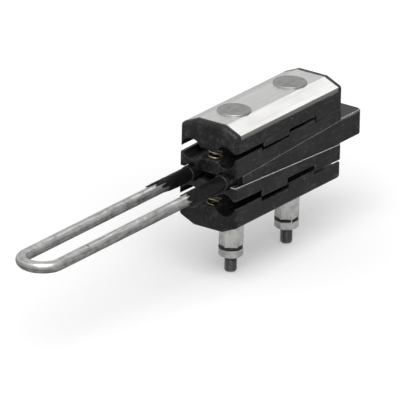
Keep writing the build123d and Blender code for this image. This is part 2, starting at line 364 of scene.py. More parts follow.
# ------------------------------------------------------------------ finishes
@dataclass(frozen=True)
class MouldedNylon:
    """Black glass-filled nylon with flow marks, dust, scuffs, worn edges and painted edge highlights.

    Args:
        name: The material's name.
        shade: Colour of the clean plastic.
        cloudy: Colour of its flow marks.
        dust: Colour of dust and scuffs, and of the painted sheen on every edge.
        highlight_colour: Colour of the painted highlight on edges.
        highlight_strength: How strongly edges that face up get the painted highlight.
        highlight_from: Distance from the middle plane beyond which edges get the painted highlight.
        softness: Radius of the rounding that light sees on an edge.
        edge: Width of the worn edges and of the painted edge sheen and highlights.
        grain_depth: Depth of grain and ripple.
        flow: Flow marks of the moulding.
        specks: Specks of dust.
        haze: Thin film of dust.
        scuffs: Scuffs along X.
        edge_wear_and_sheen: Wear of every edge, partly a painted edge sheen.
        patches: Where the painted highlight on edges shows.
        grain: Fine grain of the surface.
        ripple: Coarser unevenness of the surface.
    """

    name: str
    shade: Colour = (0.0035, 0.0035, 0.0038)
    cloudy: Colour = (0.014, 0.014, 0.015)
    dust: Colour = (0.19, 0.19, 0.19)
    highlight_colour: Colour = (0.80, 0.80, 0.79)
    highlight_strength: float = 0.10
    highlight_from: float = 0.0
    softness: float = 1.3 * MM
    edge: float = 0.45 * MM
    grain_depth: float = 0.16 * MM
    flow: Pattern = Pattern(55.0, 5.0, 0.65, (0.42, 0.66), stretch=(0.5, 1.0, 1.0))
    specks: Pattern = Pattern(310.0, 3.0, 0.6, (0.655, 0.74), (0.0, 0.60))
    haze: Pattern = Pattern(150.0, 5.0, 0.7, (0.52, 0.80), (0.0, 0.22))
    scuffs: Pattern = Pattern(420.0, 3.0, 0.6, (0.60, 0.74), (0.0, 0.18), (0.12, 1.0, 1.0))
    edge_wear_and_sheen: Pattern = Pattern(210.0, fades=(0.40, 0.70), shows=(0.06, 0.60))
    patches: Pattern = Pattern(45.0, fades=(0.3, 0.6), shows=(0.45, 1.0))
    grain: Pattern = Pattern(2300.0, 2.0)
    ripple: Pattern = Pattern(520.0, 3.0, 0.6)

    def highlighted(self, s: Shading, edges: Socket, sharp: Socket) -> Socket:
        """Where an edge that faces up gets a painted highlight.

        Args:
            s: The material in the making.
            edges: How near a point is to an edge.
            sharp: The rounded normal of the edges.

        Returns:
            The share of painted highlight.
        """
        # Painted highlight: edges whose rounded normal faces up, away from the middle plane, are painted
        # bright in patches.
        upward = s.remap(s.parts(sharp)[2], 0.25, 0.75, 0.0, self.highlight_strength)
        outside = s.math("GREATER_THAN", s.math("ABSOLUTE", s.parts(s.position)[1]), self.highlight_from)
        reached = s.math("MULTIPLY", edges, s.math("MULTIPLY", upward, outside))
        return s.math("MULTIPLY", reached, s.shown(self.patches))

    def make(self) -> Material:
        """Builds the finish.

        Returns:
            The material.
        """
        s = Shading(self.name)
        haze = s.shown(self.haze)
        sharp = s.rounded(self.edge)
        edges = s.edges(sharp)
        # Every edge is lightened with the dust colour, partly edge wear and partly a painted sheen, and
        # scuffs are added.
        worn = s.math("ADD", s.math("MULTIPLY", edges, s.shown(self.edge_wear_and_sheen)), s.shown(self.scuffs))
        marks = s.math("ADD", s.math("ADD", s.shown(self.specks), haze), worn)
        clean = s.blend(s.shown(self.flow), self.shade, self.cloudy)
        dusty = s.blend(s.math("MINIMUM", marks, 1.0), clean, self.dust)
        # Painted highlight: upward edges are mixed toward the bright highlight colour.
        colour = s.blend(self.highlighted(s, edges, sharp), dusty, self.highlight_colour)
        gloss = s.remap(s.noise(self.flow), 0.35, 0.65, 0.30, 0.42)
        roughness = s.math("ADD", gloss, s.remap(haze, 0.0, 0.10, 0.0, 0.12))
        fine = s.math("MULTIPLY", s.noise(self.grain), 0.25)
        height = s.math("ADD", fine, s.math("MULTIPLY", s.noise(self.ripple), 0.75))
        normal = s.bump(height, self.grain_depth, 0.5, s.rounded(self.softness))
        return s.finish(colour, roughness, normal, IOR=1.5, Specular_IOR_Level=0.31)


@dataclass(frozen=True)
class ShrinkTube:
    """Black shrink tubing, wrinkled across its length and dusty in places.

    Args:
        name: The material's name.
        shade: Colour of the clean tube.
        dust: Colour of its specks.
        wrinkle_depth: Depth of the wrinkles.
        wrinkles: The wrinkles, and the roughness that they give.
        specks: Specks of dust.
    """

    name: str
    shade: Colour = (0.0035, 0.0035, 0.0038)
    dust: Colour = (0.10, 0.10, 0.10)
    wrinkle_depth: float = 0.35 * MM
    wrinkles: Pattern = Pattern(360.0, 4.0, 0.6, (0.3, 0.7), (0.32, 0.58), (1.0, 0.35, 0.35))
    specks: Pattern = Pattern(900.0, 3.0, 0.7, (0.62, 0.74), (0.0, 0.35))

    def make(self) -> Material:
        """Builds the finish.

        Returns:
            The material.
        """
        s = Shading(self.name)
        colour = s.blend(s.shown(self.specks), self.shade, self.dust)
        normal = s.bump(s.noise(self.wrinkles), self.wrinkle_depth, 0.7)
        return s.finish(colour, s.shown(self.wrinkles), normal, IOR=1.5, Specular_IOR_Level=0.22)


@dataclass(frozen=True)
class ExtrudedAluminium:
    """Satin aluminium with fine die lines along X, a few handling scratches and painted shade on the side
    lips.

    Args:
        name: The material's name.
        shade: Colour of the bright metal.
        dull: Colour of its bands and clouds.
        side: Colour painted on faces that look along Y, the lips at the sides: a painted shade for the dark
            they mirror.
        softness: Radius of the rounding that light sees on an edge.
        line_depth: Depth of the die lines.
        lines: The die lines, and the roughness that they give.
        bands: Wider bands along X.
        clouds: Dull clouds.
        scratches: Handling scratches, which are rougher.
    """

    name: str
    shade: Colour = (0.80, 0.793, 0.775)
    dull: Colour = (0.66, 0.66, 0.655)
    side: Colour = (0.31, 0.31, 0.305)
    softness: float = 0.25 * MM
    line_depth: float = 0.02 * MM
    lines: Pattern = Pattern(1700.0, 3.0, 0.6, (0.3, 0.7), (0.34, 0.48), (0.012, 1.0, 1.0))
    bands: Pattern = Pattern(260.0, 2.0, 0.5, (0.35, 0.65), (0.0, 0.45), (0.02, 1.0, 1.0))
    clouds: Pattern = Pattern(60.0, 4.0, 0.6, (0.4, 0.7), (0.0, 0.35))
    scratches: Pattern = Pattern(520.0, 2.0, 0.5, (0.70, 0.74), (0.0, 0.1), (0.05, 1.0, 1.0))

    def make(self) -> Material:
        """Builds the finish.

        Returns:
            The material.
        """
        s = Shading(self.name)
        share = s.math("ADD", s.shown(self.bands), s.shown(self.clouds))
        # Painted shade: faces that look along Y are painted darker.
        side = s.remap(s.math("ABSOLUTE", s.parts(s.faces())[1]), 0.8, 0.95, 0.0, 0.9)
        colour = s.blend(side, s.blend(share, self.shade, self.dull), self.side)
        roughness = s.math("ADD", s.shown(self.lines), s.shown(self.scratches))
        fine = s.math("MULTIPLY", s.noise(self.lines), 0.6)
        height = s.math("ADD", fine, s.math("MULTIPLY", s.noise(self.bands), 0.4))
        normal = s.bump(height, self.line_depth, 0.7, s.rounded(self.softness))
        return s.finish(colour, roughness, normal, Metallic=1.0)


@dataclass(frozen=True)
class GalvanisedRod:
    """Hot-dip galvanised rod: streaks along it and round its bend, duller patches, pits, one nick and
    painted shade underneath.

    Args:
        name: The material's name.
        bright: Colour of the bright zinc.
        dull: Colour of streaks, patches and the painted shade underneath.
        worn: Colour in the pits and the nick.
        painted_underside_shade: How much painted shade darkens the rod where it faces down.
        nick: Place of the nick.
        nick_size: Its radius.
        pit_depth: Depth of the streaks and pits.
        streak_length: Factor along X that draws the streaks out.
        streaks: The streaks.
        patches: The duller patches.
        pits: The pits.
    """

    name: str
    bright: Colour = (0.66, 0.655, 0.64)
    dull: Colour = (0.15, 0.15, 0.147)
    worn: Colour = (0.10, 0.10, 0.097)
    painted_underside_shade: float = 0.75
    nick: Axes = (36.5 * MM, -17.2 * MM, 4.5 * MM)
    nick_size: float = 1.5 * MM
    pit_depth: float = 0.08 * MM
    streak_length: float = 0.06
    streaks: Pattern = Pattern(620.0, 4.0, 0.6, (0.42, 0.68), (0.0, 0.55))
    patches: Pattern = Pattern(95.0, 5.0, 0.65, (0.45, 0.7), (0.0, 0.45))
    pits: Pattern = Pattern(1500.0, 2.0, 0.6, (0.66, 0.76))

    def along(self, s: Shading) -> Socket:
        """Coordinates that follow the rod: its length, its distance from the bend's centre, and its height.

        Args:
            s: The material in the making.

        Returns:
            The coordinates.
        """
        x, y, z = s.parts(s.position)
        past_bend = s.math("MINIMUM", x, 0.0)
        squares = s.math("ADD", s.math("MULTIPLY", past_bend, past_bend), s.math("MULTIPLY", y, y))
        return s.vector(s.math("MULTIPLY", x, self.streak_length), s.math("SQRT", squares), z)

    def make(self) -> Material:
        """Builds the finish.

        Returns:
            The material.
        """
        s = Shading(self.name)
        streaks = s.noise(self.streaks, self.along(s))
        patches = s.noise(self.patches)
        pits = s.shown(self.pits)
        apart = s.measure("DISTANCE", s.position, self.nick)
        nick = s.remap(apart, 0.55 * self.nick_size, self.nick_size, 1.0, 0.0)
        streaked = s.remap(streaks, *self.streaks.fades, *self.streaks.shows)
        patchy = s.remap(patches, *self.patches.fades, *self.patches.shows)
        # Painted shade: darker where the surface faces down.
        below = s.remap(s.parts(s.faces())[2], -0.75, 0.55, self.painted_underside_shade, 0.0)
        share = s.math("MINIMUM", s.math("ADD", s.math("ADD", streaked, patchy), below), 1.0)
        worn = s.math("MAXIMUM", s.math("MULTIPLY", pits, 0.4), s.math("MULTIPLY", nick, 0.8))
        colour = s.blend(worn, s.blend(share, self.bright, self.dull), self.worn)
        roughness = s.remap(patches, 0.3, 0.7, 0.30, 0.46)
        low = s.math("ADD", s.math("MULTIPLY", pits, 0.4), s.math("MULTIPLY", nick, 1.5))
        height = s.math("SUBTRACT", s.math("MULTIPLY", streaks, 0.5), low)
        return s.finish(colour, roughness, s.bump(height, self.pit_depth, 0.7), Metallic=0.92)


@dataclass(frozen=True)
class ZincPlate:
    """Zinc-plated steel with cloudy patches and small tool marks.

    Args:
        name: The material's name.
        bright: Colour of the bright metal.
        dull: Colour of its clouds and pits.
        gloss: Roughness of the bright metal and of the clouds.
        marks: Tool marks.
        mark_depth: Their depth.
        softness: Radius of the rounding that light sees on an edge.
        clouds: Its clouds.
        pits: Its pits.
    """

    name: str
    bright: Colour
    dull: Colour
    gloss: Span
    marks: Pattern = Pattern(1300.0, 3.0, 0.6)
    mark_depth: float = 0.04 * MM
    softness: float = 0.2 * MM
    clouds: Pattern = Pattern(170.0, 5.0, 0.65, (0.42, 0.66), (0.0, 0.7))
    pits: Pattern = Pattern(2100.0, 2.0, fades=(0.66, 0.74), shows=(0.0, 0.3))

    def make(self) -> Material:
        """Builds the finish.

        Returns:
            The material.
        """
        s = Shading(self.name)
        share = s.math("ADD", s.shown(self.clouds), s.shown(self.pits))
        roughness = s.remap(s.noise(self.clouds), 0.35, 0.65, *self.gloss)
        normal = s.bump(s.noise(self.marks), self.mark_depth, 0.6, s.rounded(self.softness))
        return s.finish(s.blend(share, self.bright, self.dull), roughness, normal, Metallic=1.0)


@dataclass(frozen=True)
class RingPlastic:
    """Matt black plastic of the nuts' rings, greyed where it rubs.

    Args:
        name: The material's name.
        shade: Colour of the clean plastic.
        scuffed: Colour where it rubs.
        softness: Radius of the rounding that light sees on an edge.
        grain_depth: Depth of the grain.
        scuffs: Where it rubs.
        grain: Grain of the surface.
    """

    name: str
    shade: Colour = (0.012, 0.012, 0.013)
    scuffed: Colour = (0.05, 0.05, 0.052)
    softness: float = 0.25 * MM
    grain_depth: float = 0.05 * MM
    scuffs: Pattern = Pattern(800.0, 4.0, 0.7, (0.5, 0.75), (0.0, 0.5))
    grain: Pattern = Pattern(1500.0)

    def make(self) -> Material:
        """Builds the finish.

        Returns:
            The material.
        """
        s = Shading(self.name)
        scuff = s.shown(self.scuffs)
        normal = s.bump(s.noise(self.grain), self.grain_depth, 0.6, s.rounded(self.softness))
        colour = s.blend(scuff, self.shade, self.scuffed)
        return s.finish(colour, s.remap(scuff, 0.0, 0.5, 0.4, 0.65), normal)


# ------------------------------------------------------------------ meshes
class Growth(Wiring):
    """A Geometry Nodes tree with named inputs, turned into a plain mesh object when it is grown."""

    def __init__(self, name: str) -> None:
        """Starts an empty tree.

        Args:
            name: The tree's name.
        """
        super().__init__(bpy.data.node_groups.new(name, "GeometryNodeTree"))
        for end in ("INPUT", "OUTPUT"):
            self.tree.interface.new_socket("Geometry", in_out=end, socket_type="NodeSocketGeometry")
        self.entry = self.node("NodeGroupInput")
        self.exit = self.node("NodeGroupOutput")
        self.identifiers: dict[str, str] = {}
        self.finish_socket = self.given("Finish", "NodeSocketMaterial")

    def given(self, name: str, kind: str = "NodeSocketFloat") -> Socket:
        """Adds a named input.

        Args:
            name: The input's name.
            kind: The socket's type.

        Returns:
            The socket that carries the input's value.
        """
        item = self.tree.interface.new_socket(name, in_out="INPUT", socket_type=kind)
        self.identifiers[name] = item.identifier
        return self.entry.outputs[name]

    def places(self) -> tuple[Socket, ...]:
        """Returns X, Y and Z of the points that a step moves."""
        return self.parts(self.node("GeometryNodeInputPosition").outputs[0])

    def close(self, geometry: Socket) -> None:
        """Ends the tree with Realize Instances and Set Material.

        Args:
            geometry: The geometry to hand out.
        """
        real = self.node("GeometryNodeRealizeInstances", {0: geometry})
        dressed = self.node("GeometryNodeSetMaterial", {
            "Geometry": real.outputs[0], "Material": self.finish_socket})
        self.plug(self.exit.inputs[0], dressed.outputs[0])

    def grow(self, name: str, finish: Material, sizes: dict[str, float],
             points: Sequence[Vector] = ()) -> bpy.types.Object:
        """Runs the tree with these sizes and keeps the result as a plain mesh.

        Args:
            name: Name of the new object.
            finish: Material of the result.
            sizes: Values of the named inputs.
            points: Places handed in as the tree's geometry.

        Returns:
            The new object, at the origin.
        """
        seed = bpy.data.meshes.new(name + "_points")
        seed.from_pydata([tuple(p) for p in points], [], [])
        carrier = bpy.data.objects.new(name + "_carrier", seed)
        bpy.context.scene.collection.objects.link(carrier)
        modifier = carrier.modifiers.new("growth", "NODES")
        modifier.node_group = self.tree
        modifier[self.identifiers["Finish"]] = finish
        for key, value in sizes.items():
            modifier[self.identifiers[key]] = value
        depsgraph = bpy.context.evaluated_depsgraph_get()
        mesh = bpy.data.meshes.new_from_object(carrier.evaluated_get(depsgraph))
        carrier.modifiers.remove(modifier)
        bpy.data.objects.remove(carrier)
        mesh.name = name
        return add_object(name, mesh)


def add_object(name: str, mesh: bpy.types.Mesh) -> bpy.types.Object:
    """Links a mesh to the scene as an object at the origin.

    Args:
        name: The object's name.
        mesh: Its mesh.

    Returns:
        The object.
    """
    made = bpy.data.objects.new(name, mesh)
    bpy.context.scene.collection.objects.link(made)
    return made


def mesh_from(name: str, shape: bmesh.types.BMesh, finish: Material) -> bpy.types.Mesh:
    """Turns a bmesh into a mesh with outward faces and one material.

    Args:
        name: The mesh's name.
        shape: The source, which is freed.
        finish: Its material.

    Returns:
        The mesh.
    """
    bmesh.ops.recalc_face_normals(shape, faces=shape.faces)
    mesh = bpy.data.meshes.new(name)
    shape.to_mesh(mesh)
    shape.free()
    mesh.materials.append(finish)
    mesh.shade_smooth()
    return mesh


def lathe(profile: Sequence[tuple[float, float]], sides: int) -> bmesh.types.BMesh:
    """Turns a profile of radius and height about the Z axis.

    Args:
        profile: Pairs of radius and height, in metres, from one end of the axis to the other.
        sides: Number of flat sides round the axis.

    Returns:
        The closed shape.
    """
    shape = bmesh.new()
    rings: list[list[bmesh.types.BMVert]] = []
    for radius, height in profile:
        if radius < 1e-7:
            rings.append([shape.verts.new((0.0, 0.0, height))])
            continue
        turn = [2 * math.pi * k / sides for k in range(sides)]
        rings.append([shape.verts.new((radius * math.cos(t), radius * math.sin(t), height)) for t in turn])
    for lower, upper in zip(rings, rings[1:]):
        for k in range(sides):
            corners = [lower[k % len(lower)], lower[(k + 1) % len(lower)],
                       upper[(k + 1) % len(upper)], upper[k % len(upper)]]
            unique = list(dict.fromkeys(corners))
            if len(unique) > 2:
                shape.faces.new(unique)
    return shape


def place(piece: bpy.types.Object, body: Body, replaced: Sequence[str] = ()) -> None:
    """Hands a finished piece to the frame.

    Args:
        piece: The piece, in place.
        body: The body it rides on.
        replaced: CAD nodes it stands for.
    """
    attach(piece, body.value)
    if replaced:
        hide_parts(*replaced)
    LOG.info("piece %s rides on %s, %d faces", piece.name, body.value, len(piece.data.polygons))


def dress(node: str, finish: Material) -> None:
    """Gives a CAD node its material.

    Args:
        node: The node's name.
        finish: The material.
    """
    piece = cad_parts[node]
    piece.data.materials.clear()
    piece.data.materials.append(finish)
    LOG.info("node %s dressed with %s", node, finish.name)


# ------------------------------------------------------------------ sub-assemblies
@dataclass
class JawStack:
    """The four moulded jaws and the wedge, with their moulding marks.

    Args:
        finish: Finish of a jaw.
        edge_highlight_finish: Finish of the lower inner jaw, with a painted highlight on its outer edges
            that face up.
        rim_highlight_finish: Finish of the upper outer jaw, with a faint painted highlight on its edges that
            face up.
        wedge_finish: Finish of the wedge, with a painted highlight on its outer edges that face up.
        mark_radius: Radius of a moulding mark.
        mark_wall: Radius of its raised ring.
        mark_places: Body, name and height of each mark.
    """

    finish: MouldedNylon = MouldedNylon("black_nylon")
    edge_highlight_finish: MouldedNylon = MouldedNylon(
        "edge_highlight_nylon", highlight_strength=2.2, highlight_from=22.0 * MM, edge=1.3 * MM)
    rim_highlight_finish: MouldedNylon = MouldedNylon("rim_highlight_nylon", highlight_strength=0.45)
    wedge_finish: MouldedNylon = MouldedNylon(
        "wedge_highlight_nylon", highlight_strength=2.2, highlight_from=24.0 * MM, edge=1.9 * MM)
    mark_radius: float = 1.9 * MM
    mark_wall: float = 0.22 * MM
    mark_places: tuple[tuple[Body, str, float], ...] = (
        (Body.FRAME, "upper_outer", 29.25 * MM),
        (Body.UPPER_INNER, "upper_inner", 6.9 * MM),
        (Body.LOWER_INNER, "lower_inner", -8.85 * MM),
        (Body.LOWER_OUTER, "lower_outer", -32.95 * MM),
    )

    def mark_tree(self) -> Growth:
        """Returns the tree that sets a raised ring, facing -X, on each given point."""
        growth = Growth("ejector_marks")
        radius = growth.given("Radius")
        wall = growth.given("Wall")
        path = growth.node("GeometryNodeCurvePrimitiveCircle", {"Resolution": 40, "Radius": radius})
        wire = growth.node("GeometryNodeCurvePrimitiveCircle", {"Resolution": 8, "Radius": wall})
        ring = growth.node("GeometryNodeCurveToMesh", {
            "Curve": path.outputs[0], "Profile Curve": wire.outputs[0]})
        placed = growth.node("GeometryNodeInstanceOnPoints", {
            "Points": growth.entry.outputs["Geometry"], "Instance": ring.outputs[0],
            "Rotation": (0.0, math.pi / 2, 0.0)})
        growth.close(placed.outputs[0])
        return growth

    def build(self) -> None:
        """Dresses the moulded nodes and adds the marks."""
        nylon = self.finish.make()
        # Three finishes paint highlights on upward edges: the lower inner jaw, the upper outer jaw and the
        # wedge.
        worn, highlighted, wedge_highlighted = self.edge_highlight_finish.make(), self.rim_highlight_finish.make(), self.wedge_finish.make()
        finishes = {"upper_outer_jaw": highlighted, "upper_inner_jaw": nylon, "lower_inner_jaw": worn,
                    "lower_outer_jaw": nylon, "wedge_core": wedge_highlighted}
        for node, finish in finishes.items():
            dress(node, finish)
        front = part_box("upper_inner_jaw")[0].x
        tree = self.mark_tree()
        for body, label, height in self.mark_places:
            piece = tree.grow(label + "_mark", nylon, {"Radius": self.mark_radius, "Wall": self.mark_wall},
                              [Vector((front, 0.0, height))])
            place(piece, body)


@dataclass(frozen=True)
class Tongue:
    """A strip of tube that reaches past the tear.

    Args:
        middle: Its angle from the top of the tube, in radians.
        half_width: Half its width, in radians.
        length: How far it reaches past the whole tube.
    """

    middle: float
    half_width: float
    length: float


@dataclass(frozen=True)
class Tear:
    """A torn end: how deep it is, and the tongues and cuts round it.

    Args:
        seed: Seed of the cuts.
        depth: From the end of the tube's length to where it is whole.
        tongues: The strips round it.
        cut: Length of the longest cut.
        cut_count: Number of cuts.
    """

    seed: int
    depth: float
    tongues: tuple[Tongue, ...]
    cut: float
    cut_count: int


@dataclass
class Bail:
    """The galvanised rod and the torn shrink tubes on its legs.

    Args:
        rod: Finish of the rod.
        tube: Finish of the tubes.
        rod_radius: Radius of the rod.
        fit: Gap between rod and tube.
        wall: Wall of the tubes.
        thinned: Share of the wall that is lost at the tear.
        curl: How far the shreds lift off the rod.
        curls: Number of lifted stretches round the tear.
        fray: How far from the tear a tube is thinned and lifted.
        swelling: Height of the wide and of the small swellings.
        swell_scale: Swellings per metre along the tube.
        swell_round: How quickly they change round the tube.
        swell_ratio: Size of the wide swellings over the small ones.
        cut_widths: Narrowest and widest cut, in radians.
        shortest_cut: Share of the longest cut that the shortest one has.
        waves: Number and height of the waves round the torn edge.
        sides: Number of points round the tube.
        rows: Number of faces along it.
        crowding: How much closer the rows lie at the tear.
        near: The tear of the tube on the near leg.
        far: The tear of the tube on the far leg.
    """

    rod: GalvanisedRod = GalvanisedRod("galvanised_rod")
    tube: ShrinkTube = ShrinkTube("shrink_tube")
    rod_radius: float = 4.75 * MM
    fit: float = 0.04 * MM
    wall: float = 1.15 * MM
    thinned: float = 0.45
    curl: float = 0.55 * MM
    curls: int = 5
    fray: float = 2.0 * MM
    swelling: Span = (0.34 * MM, 0.16 * MM)
    swell_scale: float = 130.0
    swell_round: float = 1.3
    swell_ratio: float = 3.1
    cut_widths: Span = (0.07, 0.22)
    shortest_cut: float = 0.25
    waves: tuple[tuple[int, float], ...] = ((5, 0.7 * MM), (13, 0.45 * MM), (29, 0.3 * MM))
    sides: int = 160
    rows: int = 70
    crowding: float = 1.6
    near: Tear = Tear(3, 13.0 * MM, (
        Tongue(-1.0, 0.50, 9.0 * MM), Tongue(-0.2, 0.25, 5.5 * MM),
        Tongue(-1.9, 0.35, 6.5 * MM), Tongue(1.0, 0.3, 6.0 * MM)), 3.5 * MM, 7)
    far: Tear = Tear(11, 22.0 * MM, (
        Tongue(0.45, 0.42, 22.0 * MM), Tongue(-0.30, 0.34, 17.0 * MM),
        Tongue(-1.05, 0.30, 9.0 * MM), Tongue(1.4, 0.4, 12.0 * MM)), 5.0 * MM, 9)

    def torn_edge(self, tear: Tear, tip: float) -> list[float]:
        """Where the tube ends at each of its sides, counted from its top.

        Args:
            tear: The tear's shape.
            tip: X of the end of the tube's length.

        Returns:
            X of the torn edge at each side.
        """
        rng = random.Random(tear.seed)
        cuts = [(rng.uniform(-math.pi, math.pi), rng.uniform(*self.cut_widths),
                 rng.uniform(self.shortest_cut, 1.0) * tear.cut) for _ in range(tear.cut_count)]
        phases = [rng.uniform(0.0, 2 * math.pi) for _ in self.waves]
        whole = tip + tear.depth
        edge = []
        for k in range(self.sides):
            angle = (2 * math.pi * k / self.sides + math.pi) % (2 * math.pi) - math.pi
            x = whole
            for tongue in tear.tongues:
                share = max(0.0, 1.0 - (abs(angle - tongue.middle) / tongue.half_width) ** 3)
                x = min(x, whole - tongue.length * share)
            for middle, width, depth in cuts:
                x += depth * max(0.0, 1.0 - abs(angle - middle) / width)
            for phase, (count, height) in zip(phases, self.waves):
                x += height * math.sin(count * angle + phase)
            edge.append(max(x, tip))
        return edge

    def strip(self, shape: bmesh.types.BMesh, angle: float, ends: Span, y: float,
              seed: int) -> tuple[list[bmesh.types.BMVert], list[bmesh.types.BMVert]]:
        """Adds the points of one line along the tube, on its outer and on its inner wall.

        Args:
            shape: The mesh in the making.
            angle: The line's angle from the top of the tube.
            ends: X of the torn edge and of the whole end.
            y: Y of the leg.
            seed: The tear's seed.

        Returns:
            The outer and the inner points, from the torn edge on.
        """
        direction = Vector((0.0, math.sin(angle), math.cos(angle)))
        curl = self.curl * (0.5 + 0.5 * math.sin(self.curls * angle + seed))
        outer, inner = [], []
        for row in range(self.rows + 1):
            x = ends[0] + (ends[1] - ends[0]) * (row / self.rows) ** self.crowding
            near_edge = math.exp(-(x - ends[0]) / self.fray)
            spot = Vector((x * self.swell_scale + seed, self.swell_round * math.sin(angle),
                           self.swell_round * math.cos(angle)))
            wide, small = self.swelling
            swell = wide * noise.noise(spot) + small * noise.noise(spot * self.swell_ratio)
            thick = self.wall * (1.0 - self.thinned * near_edge) + swell * (1.0 - 0.7 * near_edge)
            inside = self.rod_radius + self.fit + curl * near_edge
            centre = Vector((x, y, 0.0))
            outer.append(shape.verts.new(centre + direction * (inside + thick)))
            inner.append(shape.verts.new(centre + direction * inside))
        return outer, inner

    def torn_tube(self, label: str, y: float, tear: Tear, finish: Material) -> None:
        """Makes one tube with a torn outer end, curled shreds and a few swellings.

        Args:
            label: The CAD node that it replaces.
            y: Y of the leg.
            tear: The tear's shape.
            finish: Its material.
        """
        low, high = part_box(label)
        shape = bmesh.new()
        walls = [self.strip(shape, 2 * math.pi * k / self.sides, (start, high.x), y, tear.seed)
                 for k, start in enumerate(self.torn_edge(tear, low.x))]
        for (outer, inner), (outer_next, inner_next) in zip(walls, walls[1:] + walls[:1]):
            for r in range(self.rows):
                shape.faces.new((outer[r], outer_next[r], outer_next[r + 1], outer[r + 1]))
                shape.faces.new((inner[r + 1], inner_next[r + 1], inner_next[r], inner[r]))
            shape.faces.new((outer[0], inner[0], inner_next[0], outer_next[0]))
            shape.faces.new((outer[-1], outer_next[-1], inner_next[-1], inner[-1]))
        piece = add_object(label + "_torn", mesh_from(label + "_torn", shape, finish))
        place(piece, Body.WEDGE, (label,))

    def build(self) -> None:
        """Dresses the rod and makes both tubes."""
        dress("bail", self.rod.make())
        finish = self.tube.make()
        low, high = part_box("near_sleeve")
        leg = (low.y + high.y) / 2
        self.torn_tube("near_sleeve", leg, self.near, finish)
        self.torn_tube("far_sleeve", -leg, self.far, finish)


